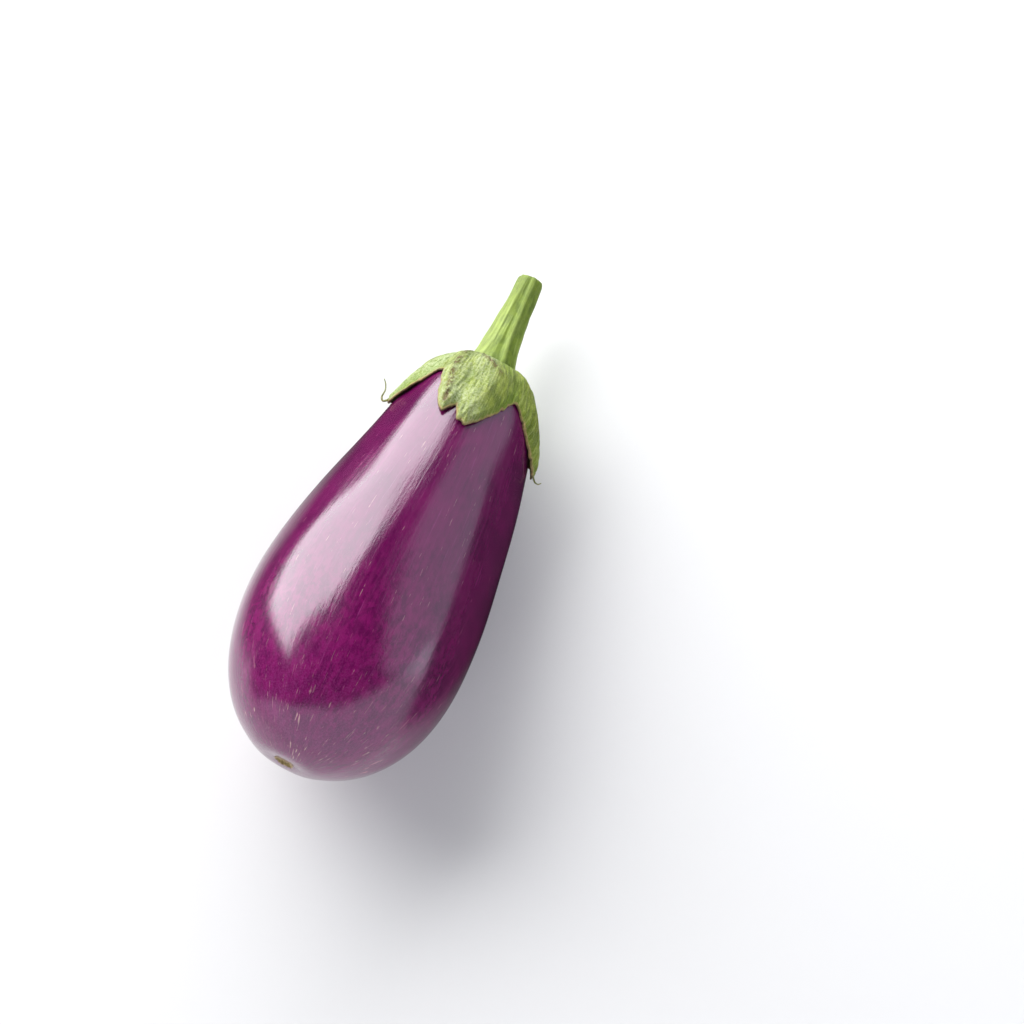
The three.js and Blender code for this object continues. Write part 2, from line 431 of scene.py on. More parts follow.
@dataclass(frozen=True)
class WaxySkin:
    """Deep purple skin under clear wax, with faint lengthwise streaks, mottled wine red towards the blossom
    end, where growth has left short cream scratches."""

    deep: Colour = srgb(94, 4, 70)
    dark: Colour = srgb(78, 2, 60)
    wine: Colour = srgb(118, 14, 86)
    pale: Colour = srgb(152, 66, 130)
    sheen: Colour = (0.94, 0.92, 1.0)
    scratch: Colour = srgb(226, 186, 176)

    def scratches(self, s: Sketch, grain: Socket, fine: float, long: float, rare: float) -> Socket:
        """Short lengthwise dashes, scattered in loose groups.

        Args:
            s: The material in work.
            grain: The coordinates that run with the growth.
            fine: Dashes to a metre, round the fruit.
            long: How many times as long as wide they are.
            rare: From which height of the noise on there is a dash, so how few there are.

        Returns:
            1 on a dash and 0 elsewhere.
        """
        dash = s.noise(s.stretched(grain, (1.0, 1.0, 1.0 / long)), fine, 2.0, 0.4, 0.1)
        group = s.noise(grain, 0.2 * fine, 2.0)
        return s.product(s.ramp(dash, rare, rare + 0.05), s.ramp(group, 0.44, 0.56))

    def material(self) -> Material:
        """Builds the node material.

        Returns:
            The finish.
        """
        s = Sketch("purple_skin")
        grain = s.track(Track.GRAIN)
        end = s.track(Track.END)
        clouds = s.noise(grain, 45.0, 3.0, 0.6, 0.4)
        streaks = s.noise(s.stretched(grain, (1.0, 1.0, 0.06)), 520.0, 4.0, 0.7, 0.2)
        threads = s.noise(s.stretched(grain, (1.0, 1.0, 0.04)), 1500.0, 2.0, 0.6)
        mottle = s.noise(s.stretched(grain, (1.0, 1.0, 0.6)), 380.0, 5.0, 0.75, 0.3)
        freckles = s.noise(grain, 1500.0, 3.0, 0.7)
        near_end = s.ramp(end, 0.01, 0.085, 1.0, 0.0)
        at_end = s.ramp(end, 0.015, 0.055, 1.0, 0.0)
        colour = s.mix(s.ramp(clouds, 0.38, 0.64), self.dark, self.deep)
        streaked = s.product(s.ramp(streaks, 0.4, 0.75), s.ramp(end, 0.02, 0.1, 0.1, 0.35))
        colour = s.mix(streaked, colour, self.wine)
        mottled = s.product(s.ramp(mottle, 0.4, 0.62), s.ramp(end, 0.05, 0.12, 0.95, 0.15))
        colour = s.mix(mottled, colour, self.wine)
        colour = s.mix(s.product(s.ramp(threads, 0.6, 0.82), 0.3), colour, self.pale)
        colour = s.mix(s.product(near_end, s.ramp(freckles, 0.4, 0.64, 0.08, 0.5)), colour, self.pale)
        dashes = s.product(self.scratches(s, grain, 560.0, 3.4, 0.665), at_end)
        lines = s.product(self.scratches(s, grain, 1500.0, 11.0, 0.65), s.product(near_end, 0.3))
        strays = s.product(self.scratches(s, grain, 1700.0, 14.0, 0.69), 0.2)
        marks = s.sum(s.sum(s.product(dashes, 0.9), lines), strays)
        colour = s.mix(marks, colour, self.scratch)
        rough = s.sum(s.ramp(streaks, 0.3, 0.75, 0.17, 0.27), s.product(marks, 0.25))
        coarse = s.relief(streaks, 0.00006)
        fine = s.relief(s.noise(grain, 1300.0, 3.0, 0.65), 0.000032, coarse)
        return s.finish(
            Base_Color=colour,
            Roughness=rough,
            Normal=fine,
            Coat_Normal=fine,
            IOR=1.56,
            Specular_Tint=self.sheen,
            Coat_Weight=1.0,
            Coat_Roughness=0.11,
        )


@dataclass(frozen=True)
class DownyCalyx:
    """Matt green leaf with a felt of fine down, wrinkled lengthwise, with rough brown ridges and dry tan
    edges.
    Its pale down is painted on thickest where the calyx is lit: painted light."""

    leaf: Colour = srgb(128, 143, 46)
    light: Colour = srgb(172, 183, 104)
    shade: Colour = srgb(88, 106, 25)
    valley: Colour = srgb(98, 126, 26)
    # The pale down's colour, laid on most where the calyx is lit: painted light.
    painted_light: Colour = srgb(202, 210, 176)
    ridge: Colour = srgb(88, 54, 32)
    bruise: Colour = srgb(48, 28, 18)
    edge: Colour = srgb(182, 148, 104)

    def material(self) -> Material:
        """Builds the node material.

        Returns:
            The finish.
        """
        s = Sketch("downy_calyx")
        grain = s.track(Track.GRAIN)
        place = s.place()
        patches = s.noise(grain, 170.0, 4.0, 0.65, 0.5)
        wrinkles = s.noise(s.stretched(grain, (1.0, 1.0, 0.16)), 1000.0, 4.0, 0.65, 0.15)
        felt = s.noise(place, 2600.0, 3.0, 0.75)
        colour = s.mix(s.ramp(patches, 0.36, 0.66), self.shade, self.leaf)
        colour = s.mix(s.product(s.ramp(wrinkles, 0.46, 0.7), 0.6), colour, self.light)
        colour = s.mix(s.ramp(felt, 0.46, 0.7, 0.0, 0.45), colour, self.light)
        colour = s.mix(s.ramp(felt, 0.32, 0.48, 0.55, 0.0), colour, self.shade)
        colour = s.mix(s.ramp(s.track(Track.RIB), 0.0, 0.4, 0.55, 0.0), colour, self.valley)
        # Painted light: pale down laid on thickest where the calyx is lit; the tufts give it the down's
        # texture.
        tufts = s.noise(place, 900.0, 4.0, 0.8)
        down = s.product(s.track(Track.PAINTED_LIGHT), s.ramp(tufts, 0.38, 0.6, 0.05, 0.6))
        colour = s.mix(down, colour, self.painted_light)
        broken = s.ramp(s.noise(place, 620.0, 4.0, 0.75), 0.4, 0.54)
        ridge = s.product(s.track(Track.RIDGE), broken)
        colour = s.mix(s.product(ridge, 0.85), colour, self.ridge)
        marks = s.ramp(s.noise(place, 1100.0, 3.0, 0.8), 0.54, 0.62)
        bruised = s.product(marks, s.ramp(s.track(Track.RIDGE), 0.05, 0.7, 0.1, 0.85))
        colour = s.mix(bruised, colour, self.bruise)
        edge = s.track(Track.EDGE)
        margin = s.ramp(s.sum(edge, s.product(broken, 0.0004)), 0.0002, 0.0011, 1.0, 0.0)
        colour = s.mix(s.product(margin, 0.7), colour, self.edge)
        rim = s.ramp(edge, 0.0, 0.0003, 1.0, 0.0)
        colour = s.mix(s.product(rim, s.ramp(patches, 0.4, 0.6, 0.25, 0.8)), colour, self.bruise)
        coarse = s.relief(wrinkles, 0.00035)
        middle = s.relief(s.noise(place, 1000.0, 4.0, 0.75), 0.0002, coarse)
        fine = s.relief(felt, 0.00006, middle)
        return s.finish(
            Base_Color=colour,
            Roughness=s.ramp(wrinkles, 0.3, 0.8, 0.82, 0.62),
            Normal=fine,
            Specular_IOR_Level=0.3,
            Sheen_Weight=0.06,
            Sheen_Roughness=0.5,
        )


@dataclass(frozen=True)
class StemRind:
    """Satin green rind with pale ribs, small dark marks and a dry, fibrous cut; painted light makes its lit
    side paler.
    """

    rind: Colour = srgb(116, 138, 34)
    light: Colour = srgb(164, 184, 96)
    shade: Colour = srgb(86, 108, 20)
    # Pale colour laid on the stem's lit upper side: painted light.
    painted_light: Colour = srgb(206, 216, 156)
    mark: Colour = srgb(70, 84, 34)
    cut: Colour = srgb(196, 186, 130)
    pith: Colour = srgb(160, 150, 96)

    def material(self) -> Material:
        """Builds the node material.

        Returns:
            The finish.
        """
        s = Sketch("stem_rind")
        grain = s.track(Track.GRAIN)
        place = s.place()
        fibres = s.noise(s.stretched(grain, (1.0, 1.0, 0.08)), 900.0, 4.0, 0.65, 0.2)
        patches = s.noise(place, 190.0, 4.0, 0.65, 0.4)
        colour = s.mix(s.ramp(patches, 0.36, 0.66), self.shade, self.rind)
        colour = s.mix(s.ramp(fibres, 0.42, 0.75, 0.0, 0.6), colour, self.light)
        colour = s.mix(s.product(s.track(Track.RIB), 0.75), colour, self.light)
        # Painted light: paler on the stem's lit upper side.
        colour = s.mix(s.track(Track.PAINTED_LIGHT), colour, self.painted_light)
        marks = s.ramp(s.noise(place, 700.0, 3.0, 0.75), 0.63, 0.72)
        colour = s.mix(s.product(marks, 0.6), colour, self.mark)
        cut = s.track(Track.CUT)
        face = s.mix(s.ramp(s.noise(place, 1500.0, 3.0, 0.7), 0.4, 0.65), self.cut, self.pith)
        colour = s.mix(cut, colour, face)
        coarse = s.relief(fibres, 0.0005)
        fine = s.relief(s.noise(place, 1800.0, 3.0, 0.7), 0.00012, coarse)
        return s.finish(
            Base_Color=colour,
            Roughness=s.sum(s.ramp(fibres, 0.3, 0.8, 0.58, 0.42), s.product(cut, 0.3)),
            Normal=fine,
            Specular_IOR_Level=0.35,
        )


@dataclass(frozen=True)
class DryCork:
    """Dry tan cork, olive and brown in its cracks, with a pale rim."""

    cork: Colour = srgb(196, 176, 118)
    crack: Colour = srgb(112, 92, 48)
    rim: Colour = srgb(226, 204, 168)

    def material(self) -> Material:
        """Builds the node material.

        Returns:
            The finish.
        """
        s = Sketch("dry_cork")
        place = s.place()
        grit = s.noise(place, 1500.0, 5.0, 0.75, 0.6)
        colour = s.mix(s.ramp(grit, 0.4, 0.64), self.crack, self.cork)
        colour = s.mix(s.ramp(s.track(Track.EDGE), 0.0, 0.0011, 0.85, 0.0), colour, self.rim)
        return s.finish(Base_Color=colour, Roughness=0.85, Normal=s.relief(grit, 0.0005))


@dataclass(frozen=True)
class ShadedCard:
    """Pale card with two wide, soft-edged dark discs, which the skin's flanks mirror. A disc is its middle's
    x and y and its radius, in metres."""

    tone: float = 0.7
    shade: float = 0.03
    discs: tuple[tuple[float, float, float], ...] = ((0.35, 0.45, 0.51), (0.5, -0.35, 0.64))
    softness: float = 0.04

    def material(self) -> Material:
        """Builds the node material.

        Returns:
            The finish.
        """
        s = Sketch("shaded_card")
        place = s.place()
        lit = 1.0
        for x, y, radius in self.discs:
            away = s.node("ShaderNodeVectorMath", {0: place, 1: (x, y, 0.0)}, operation="DISTANCE")
            outside = s.ramp(away.outputs["Value"], radius - self.softness, radius + self.softness)
            lit = s.product(lit, outside)
        colour = s.mix(lit, (self.shade,) * 3, (self.tone,) * 3)
        return s.finish(Base_Color=colour, Roughness=1.0, Specular_IOR_Level=0.0)


@dataclass(frozen=True)
class PaleFloor:
    """Plain matt white table top."""

    tone: float = 0.82

    def material(self) -> Material:
        """Builds the node material.

        Returns:
            The finish.
        """
        s = Sketch("pale_floor")
        return s.finish(Base_Color=(self.tone,) * 3, Roughness=0.9, Specular_IOR_Level=0.1)


# ------------------ the fruit


@dataclass(frozen=True)
class FruitForm:
    """The fruit's plain shape, which the pieces on it are laid over: an outline turned about a bent axis."""

    length: float = 168.0
    belly_radius: float = 42.0
    belly_at: float = 56.5
    neck_radius: float = 27.7
    neck_at: float = 139.0
    fullness: float = 0.6
    ovalness: float = 0.012
    sway: float = 5.8
    smile_radius: float = 620.0
    smile_past_belly: float = 20.0
    scar_offset: float = 3.6

    @cached_property
    def outline(self) -> Array:
        """Half of the outline: three Bezier curves, a round cap, a long taper and a shoulder.

        Returns:
            One row for each point: the distance along the skin, the place along the axis, and the radius.
        """
        b, r, n, k = self.belly_at, self.belly_radius, self.neck_at, self.neck_radius
        cap = cubic([(0, 0), (0, r * self.fullness), (b * (1 - self.fullness), r), (b, r)], 500)
        taper = cubic([(b, r), (b + 24, r), (n - 28, k + 6.7), (n, k)], 500)
        shoulder = cubic([(n, k), (n + 18, k - 4.3), (self.length, k * 0.66), (self.length, 0)], 500)
        line = np.vstack([cap, taper[1:], shoulder[1:]])
        steps = np.hypot(*np.diff(line, axis=0).T)
        return np.column_stack([np.concatenate([[0.0], np.cumsum(steps)]), line])

    @cached_property
    def girth(self) -> float:
        """The distance along the skin from end to end."""
        return float(self.outline[-1, 0])

    def radius_at(self, travelled: Array) -> Array:
        """The outline's radius at a distance along the skin."""
        return np.interp(travelled, self.outline[:, 0], self.outline[:, 2])

    def axis_at(self, x: Array) -> Array:
        """The bent axis: it sways to -Y on a smooth step from the belly on, and rises towards both ends with
        the square of the distance from the smile's lowest place over twice the smile's radius.

        Args:
            x: Distances along the axis.

        Returns:
            The axis's points.
        """
        y = -self.sway * smoothstep(x, self.belly_at, self.length)
        z = (x - self.belly_at - self.smile_past_belly) ** 2 / (2 * self.smile_radius)
        return np.stack([x, y, z], -1)

    def skin(self, travelled: Array, turn: Array) -> Array:
        """Points of the skin: the axis's point, plus the outline's radius in the turn's direction, a little
        wider to the sides than up and down.

        Args:
            travelled: Distances along the skin from the blossom end.
            turn: Angles round the axis, in degrees.

        Returns:
            The points.
        """
        along = np.clip(travelled, 0.0, self.girth)
        x = np.interp(along, self.outline[:, 0], self.outline[:, 1])
        angle = np.radians(turn)
        radius = self.radius_at(along) * (1 - self.ovalness * np.cos(2 * angle))
        out = np.stack([np.zeros_like(radius), -radius * np.sin(angle), radius * np.cos(angle)], -1)
        return self.axis_at(x) + out

    def normal(self, travelled: Array, turn: Array) -> Array:
        """The skin's outward normal: the slope round the axis crossed with the slope along the skin.

        Args:
            travelled: Distances along the skin from the blossom end.
            turn: Angles round the axis, in degrees.

        Returns:
            Unit vectors.
        """
        at = np.clip(travelled, 1.0, self.girth - 1.0)
        along = self.skin(at + 0.5, turn) - self.skin(at - 0.5, turn)
        around = self.skin(at, turn + 1.0) - self.skin(at, turn - 1.0)
        return unit(np.cross(around, along))

    def raised(self, travelled: Array, turn: Array, height: Array) -> Array:
        """Points at a height over the skin."""
        return self.skin(travelled, turn) + self.normal(travelled, turn) * height[..., None]

    def from_scar(self, travelled: Array, turn: Array) -> tuple[Array, Array]:
        """Turns rings that close on the axis into rings that close on the scar: a globe whose latitude is the
        distance along the skin is rotated, fully at the blossom end and less and less towards the belly.

        Args:
            travelled: Distances from the scar's middle.
            turn: Angles round it, in degrees.

        Returns:
            The distances along the skin and the turns that those points have.
        """
        polar = np.pi * travelled / self.girth
        lean = np.pi * self.scar_offset / self.girth * (1 - smoothstep(travelled, 0.0, self.girth / 2))
        angle = np.radians(turn)
        x, y = np.cos(polar), np.sin(polar) * np.sin(angle)
        z = np.sin(polar) * np.cos(angle) + 0 * travelled
        x, y = x * np.cos(lean) + y * np.sin(lean), y * np.cos(lean) - x * np.sin(lean)
        return self.girth * np.arccos(np.clip(x, -1, 1)) / np.pi, np.degrees(np.arctan2(y, z))


@dataclass
class Lying:
    """How the fruit's own space lies in the frame."""

    form: FruitForm
    pitch: float = 9.6
    offset: Array = field(default_factory=lambda: np.zeros(3))

    def __post_init__(self) -> None:
        """Finds the offset that puts the fruit's skin on the sides and top of its CAD node's box."""
        travelled, turn = grid(np.linspace(0, self.form.girth, 600), 180)
        skin = self.pitched(self.form.skin(travelled, turn)).reshape(-1, 3)
        low, high = (np.array(corner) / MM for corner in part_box("fruit"))
        middle = (low + high) / 2 - (skin.min(0) + skin.max(0)) / 2
        self.offset = np.array([middle[0], middle[1], high[2] - skin[:, 2].max()])

    def pitched(self, points: Array) -> Array:
        """Turns points about Y by the pitch, so that the stem's end goes down.

        Args:
            points: Points in the fruit's space.

        Returns:
            The turned points.
        """
        c, s = np.cos(np.radians(self.pitch)), np.sin(np.radians(self.pitch))
        x, y, z = np.moveaxis(points, -1, 0)
        return np.stack([x * c + z * s, y, z * c - x * s], -1)

    def in_frame(self, points: Array) -> Array:
        """Takes points from the fruit's space, in millimetres, to the frame, in metres."""
        return (self.pitched(points) + self.offset) * MM


def grain_of(form: FruitForm, travelled: Array, turn: Array) -> Array:
    """Coordinates that run with the growth: a turn becomes a point on a circle of the belly's size, and the
    distance along the skin is the third coordinate, so a pattern stretched along it follows the fruit's
    length.

    Args:
        form: The fruit.
        travelled: Distances along the skin.
        turn: Angles round the axis, in degrees.

    Returns:
        The coordinates, in metres.
    """
    angle = np.radians(turn)
    circle = form.belly_radius * np.stack([np.cos(angle), np.sin(angle)], -1)
    return np.concatenate([circle, (travelled + 0 * turn)[..., None]], -1) * MM


@dataclass
class Fruit:
    """The fruit's skin, with its dimple, its faint lengthwise flats and its flat resting spot."""

    form: FruitForm
    lying: Lying
    rings: int = 300
    columns: int = 320
    dimple_depth: float = 1.5
    dimple_radius: float = 5.5
    flat_height: float = 0.28
    swell: float = 0.12
    give: float = 0.0004
    pressed_share: float = 0.7

    def dimple(self, distance: Array) -> Array:
        """The skin's height round the scar: a bell turned downwards, inside a faint swelling."""
        pit = -self.dimple_depth * hill(distance, 0.0, self.dimple_radius)
        return pit + 0.35 * hill(distance, 2.1 * self.dimple_radius, 0.9 * self.dimple_radius)

    def surface(self) -> tuple[Array, Array, Array]:
        """The skin's rings: they close on the scar, and lie closer to each other at both ends. Broad ripples
        with few crests round the fruit make its faint flats, and shorter ones its small swellings.

        Returns:
            The points in the fruit's space, the distances along the skin, and the turns.
        """
        t = np.linspace(0, 1, self.rings)
        row = self.form.girth * (t - 0.45 * np.sin(2 * np.pi * t) / (2 * np.pi))
        distance, around = grid(row, self.columns)
        travelled, turn = self.form.from_scar(distance, around)
        body = smoothstep(distance, 6.0, 40.0)
        flats = ripples(11, turn, travelled, (2, 6), (160.0, 420.0)) * self.flat_height
        swellings = ripples(12, turn, travelled, (5, 12), (40.0, 120.0)) * self.swell
        height = self.dimple(distance) + body * (flats + swellings)
        return self.form.raised(travelled, turn, height), travelled, turn

    def build(self) -> Piece:
        """Makes the skin's mesh in its waxy finish. It is pressed flat where it lies: what is lower than the
        give keeps a share of its depth under it, and nothing goes below the floor.

        Returns:
            The fruit.
        """
        points, travelled, turn = self.surface()
        placed = self.lying.in_frame(points)
        height = placed[..., 2]
        pressed = np.maximum(0.0, self.give - (self.give - height) * self.pressed_share)
        placed[..., 2] = np.where(height < self.give, pressed, height)
        tracks = {Track.GRAIN: grain_of(self.form, travelled, turn), Track.END: travelled * MM}
        piece = closed_rings("eggplant_fruit", placed, tracks, WaxySkin().material())
        place_in_frame(piece, "fruit")
        return piece


@dataclass
class BlossomScar:
    """The corky button in the dimple, where the flower sat."""

    fruit: Fruit
    radius: float = 3.7
    thickness: float = 0.75
    rings: int = 64
    columns: int = 120

    def build(self) -> Piece:
        """Makes the button: its face runs from the middle to the edge and its back returns under the skin.
        The face has a raised rim, a nub in the middle, and cracks where ripples round it dip. Its outline
        wanders.

        Returns:
            The scar.
        """
        t, around = grid(np.linspace(0, 1, self.rings), self.columns)
        share = 1 - np.abs(1 - 2 * t)
        wander = 1 + 0.09 * ripples(21, around, 0 * t, (2, 9), (1.0, 2.0))
        distance = self.radius * share * wander
        travelled, turn = self.fruit.form.from_scar(distance, around)
        cracks = 0.16 * ripples(22, around, 6 * distance, (5, 16), (8.0, 20.0)) * smoothstep(share, 0.1, 0.5)
        face = self.thickness * (0.45 + 0.4 * hill(share, 0.82, 0.16) + 0.5 * hill(share, 0.0, 0.16)) + cracks
        edge = np.sqrt(np.clip(1 - share**8, 0, 1))
        height = self.fruit.dimple(distance) + np.where(t < 0.5, face * edge - 0.1, -0.5 * edge - 0.1)
        points = self.fruit.form.raised(travelled, turn, height)
        tracks = {Track.EDGE: (self.radius * (1 - share)) * MM}
        piece = closed_rings("eggplant_scar", self.fruit.lying.in_frame(points), tracks, DryCork().material())
        place_in_frame(piece, "blossom_scar")
        return piece


# ------------------ the calyx


@dataclass(frozen=True)
class SepalTip:
    """One point of the calyx: where it is, how far its sepal spreads to both sides and reaches down, how
    blunt it is on both sides, how far it stands off the skin, the run, height and width of its midrib, and
    how brown that rib is and to which reach. Angles are in degrees and lengths in millimetres."""

    turn: float
    before: float
    after: float
    reach: float
    blunt: tuple[float, float]
    stands: float
    rib_reach: tuple[float, ...]
    rib_turn: tuple[float, ...]
    rib_height: float
    rib_width: float
    brown: float
    brown_to: float
    round_off: float = 0.006

    def share(self, turn: Array) -> Array:
        """How near a turn is to the tip's own: (1 - away^blunt)^1.15, where away is the share of the spread
        on that side, rounded off at the tip, and blunt is that side's own.

        Args:
            turn: Angles round the axis.

        Returns:
            1 at the tip, 0 where its sepal ends.
        """
        away = from_turn(turn, self.turn)
        off = np.minimum(1.0, np.where(away < 0, -away / self.before, away / self.after))
        rounded = np.sqrt(off**2 + self.round_off) - np.sqrt(self.round_off)
        return (1 - np.clip(rounded, 0, 1) ** np.where(away < 0, *self.blunt)) ** 1.15

    def off_rib(self, turn: Array, reach: Array, radius: Array) -> Array:
        """How far points are from the midrib: the least of a point's distances to the straight pieces that
        make the midrib, where a turn counts as the arc it spans on the fruit at that point.

        Args:
            turn: Angles round the axis.
            reach: Distances from the fruit's stem end.
            radius: The fruit's radius there.

        Returns:
            The distances, in millimetres.
        """
        away = np.radians(from_turn(turn, self.turn))
        ribs = np.radians(np.array(self.rib_turn) - self.turn)
        least = np.full(turn.shape, np.inf)
        for i in range(len(ribs) - 1):
            across, along = (away - ribs[i]) * radius, reach - self.rib_reach[i]
            wide, tall = (ribs[i + 1] - ribs[i]) * radius, self.rib_reach[i + 1] - self.rib_reach[i]
            share = np.clip((across * wide + along * tall) / (wide**2 + tall**2), 0.0, 1.0)
            least = np.minimum(least, np.hypot(across - share * wide, along - share * tall))
        return least


@dataclass
class Calyx:
    """Five sepals grown together over the neck, the top one forked, with the curled threads that two end
    in."""

    form: FruitForm
    lying: Lying
    columns: int = 600
    outer_rings: int = 96
    edge_rings: int = 8
    inner_rings: int = 30
    neck_radius: float = 27.0
    notch_reach: float = 28.7
    high_notch: float = 2.6
    high_notch_turn: float = -37.0
    high_notch_width: float = 13.0
    edge_thickness: float = 0.8
    shoulder_height: float = 1.3
    foot_height: float = 1.4
    seat_height: float = 2.7
    full_rib: float = 3.2
    tips: tuple[SepalTip, ...] = (
        SepalTip(
            -77.0, 33, 41, 43.8, (1.35, 1.15), 0.8,
            (10, 20, 34, 44), (-66, -70, -75, -77), 1.3, 7.5, 0.3, 30,
        ),
        SepalTip(
            -12.0, 25, 19.5, 47.6, (1.2, 1.2), 0.9,
            (8, 17, 27, 32, 37, 43, 48), (-34, -28, -23, -20, -16, -13, -12), 2.8, 7.0, 1.0, 46,
        ),
        SepalTip(
            6.5, 18, 34, 49.6, (2.2, 1.1), 0.9,
            (12, 17, 24.5, 34, 41, 49), (-12, -8, 15, 11, 7, 6), 3.4, 9.0, 1.0, 24,
        ),
        SepalTip(
            88.0, 48, 31, 48.4, (1.05, 1.05), 1.8,
            (10, 17, 26, 36, 48), (38, 42, 56, 74, 88), 2.6, 8.5, 0.35, 34,
        ),
        SepalTip(
            149.0, 30, 32, 46.5, (1.25, 1.25), 0.6,
            (8, 20, 34, 46), (142, 146, 148, 149), 2.2, 7.5, 0.6, 34,
        ),
        SepalTip(
            213.0, 32, 35, 48.0, (1.25, 1.25), 0.6,
            (8, 20, 34, 48), (206, 210, 212, 213), 2.2, 7.5, 0.6, 34,
        ),
    )
    left_path: Knots = (
        (-0.2, -1.2), (0.3, 0.9), (1.4, 2.3), (2.7, 1.3), (3.0, -0.3), (3.2, -1.7), (4.7, -3.7), (6.4, -4.7),
    )
    right_path: Knots = ((-0.5, -1.5), (0.4, 0.8), (1.3, 2.4), (2.6, 2.9), (3.7, 2.1))

    def reach(self, turn: Array) -> Array:
        """How far the calyx comes down the fruit: the notches' reach, plus the largest of the tips' own
        shares of what they reach beyond it, less a bell where one notch goes in higher than the others, and a
        faint waver.

        Args:
            turn: Angles round the axis.

        Returns:
            The distances from the fruit's stem end, in millimetres.
        """
        over = np.max([(tip.reach - self.notch_reach) * tip.share(turn) for tip in self.tips], axis=0)
        past = from_turn(turn, self.high_notch_turn)
        over = over - self.high_notch * hill(past, 0.0, self.high_notch_width)
        waver = ripples(31, turn, 0 * turn, (24, 90), (1.0, 2.0)) * 0.28
        return self.notch_reach + over + waver * (0.4 + 0.6 * smoothstep(over, 0.0, 4.0))

    def stand_off(self, turn: Array, share: Array) -> Array:
        """How far the underside is off the skin: each tip lifts towards its point, on smooth steps along it
        and across it, and the edges between lift a little and unevenly.

        Args:
            turn: Angles round the axis.
            share: Shares of the calyx's reach there.

        Returns:
            The heights over the skin, in millimetres.
        """
        lift = np.max([tip.stands * smoothstep(tip.share(turn), 0.5, 1.0) for tip in self.tips], axis=0)
        uneven = 0.06 + 0.1 * ripples(32, turn, 0 * turn, (6, 18), (1.0, 2.0))
        rise = smoothstep(share, 0.5, 1.0)
        return 0.02 + lift * rise**2 + np.clip(uneven, 0.0, 1.0) * smoothstep(share, 0.8, 1.0)

    def ribs(self, turn: Array, reach: Array) -> tuple[Array, Array]:
        """The midribs: tents that fall away in nearly straight lines to both sides and are rounded at the
        top, joined by the fifth root of the sum of their fifth powers.

        Args:
            turn: Angles round the axis.
            reach: Distances from the fruit's stem end.

        Returns:
            The tents' height over the leaf, and how near each point is to a ridge, from 0 to 1.
        """
        radius = self.form.radius_at(self.form.girth - reach)
        tents, lines = [], []
        for tip in self.tips:
            off = tip.off_rib(turn, reach, radius)
            strength = smoothstep(reach, 10.0, 25.0) * (1 - 0.6 * smoothstep(reach, 30.0, tip.reach))
            blunt = np.sqrt(off**2 + 0.09) - 0.3
            tents.append(tip.rib_height * strength * np.clip(1 - blunt / tip.rib_width, 0, 1) ** 1.15)
            worn = 1 - 0.85 * smoothstep(reach, tip.brown_to, tip.brown_to + 3.0)
            lines.append(tip.brown * worn * hill(off, 0.0, 1.05) * smoothstep(reach, 12.0, 17.0))
        return np.sum(np.array(tents) ** 5, axis=0) ** 0.2, np.max(lines, axis=0)

    def thickness(self, turn: Array, reach: Array) -> Array:
        """The leaf's thickness over the underside: a thick foot round the stem that dies away from it, a
        fleshy shoulder in the shape of a bell, a thinner blade, the ribs, and wrinkles that run lengthwise.

        Args:
            turn: Angles round the axis.
            reach: Distances from the fruit's stem end.

        Returns:
            The thicknesses, in millimetres.
        """
        blade = self.edge_thickness + self.shoulder_height * hill(reach, 13.0, 9.5)
        foot = self.foot_height * np.exp(-np.maximum(reach - 7.2, 0.0) / 2.3)
        tents, _ = self.ribs(turn, reach)
        folds = ripples(33, turn, reach, (14, 44), (14.0, 60.0))
        fine = ripples(34, turn, reach, (50, 120), (4.0, 16.0))
        spread = smoothstep(reach, 9.0, 20.0)
        return blade + foot + tents + spread * (0.26 * np.abs(folds) + 0.08 * fine)

    def surface(self) -> tuple[Array, dict[Track, Array]]:
        """The whole skin of the calyx, ring by ring: under the leaf to its edge, round the edge on a half
        circle, and back over the outside to the stem's seat.

        Returns:
            The points in the fruit's space, and the tracks.
        """
        edge_share = np.linspace(0, 1, self.edge_rings + 2)[1:-1]
        under = np.linspace(0, 1, self.inner_rings) ** 0.8
        over = np.linspace(1, 0, self.outer_rings) ** 0.8
        share = np.concatenate([under, np.ones(self.edge_rings), over])
        side = np.concatenate([np.zeros(self.inner_rings), edge_share, np.ones(self.outer_rings)])
        share, turn = grid(share, self.columns)
        side = side[:, None] + 0 * turn
        limit = self.reach(turn)
        slope = np.gradient(limit, axis=1) / (np.radians(360.0 / self.columns) * self.neck_radius)
        steep = 1 / np.sqrt(1 + slope**2)
        reach = limit * share
        bulge = np.sin(np.pi * side) * 0.5 * self.edge_thickness * steep
        near_edge = (limit - reach) * steep
        full = self.thickness(turn, reach)
        closing = smoothstep(near_edge, -0.4, 2.4)
        depth = full * closing + self.edge_thickness * 0.8 * (1 - closing)
        lower = self.stand_off(turn, share)
        height = lower + depth * (1 - np.cos(np.pi * side)) / 2
        seat = smoothstep(reach, 5.0, 9.0)
        seated = height * seat + (self.seat_height + self.foot_height) * (1 - seat)
        height = np.where(side > 0.5, seated, height)
        travelled = self.form.girth - reach - bulge
        points = self.form.raised(travelled, turn, height)
        tents, lines = self.ribs(turn, reach)
        brown = lines * np.clip(0.85 + 0.45 * ripples(35, turn, reach, (6, 30), (5.0, 14.0)), 0, 1)
        tracks = {
            Track.GRAIN: grain_of(self.form, travelled, turn),
            Track.EDGE: near_edge * MM,
            Track.RIDGE: np.where(side > 0.5, brown, 0.0),
            Track.RIB: np.where(side > 0.5, tents / self.full_rib, 0.5),
            # Painted light: the share of pale down, thickest on the lit side.
            Track.PAINTED_LIGHT: self.painted_light(turn, reach),
        }
        return points, tracks

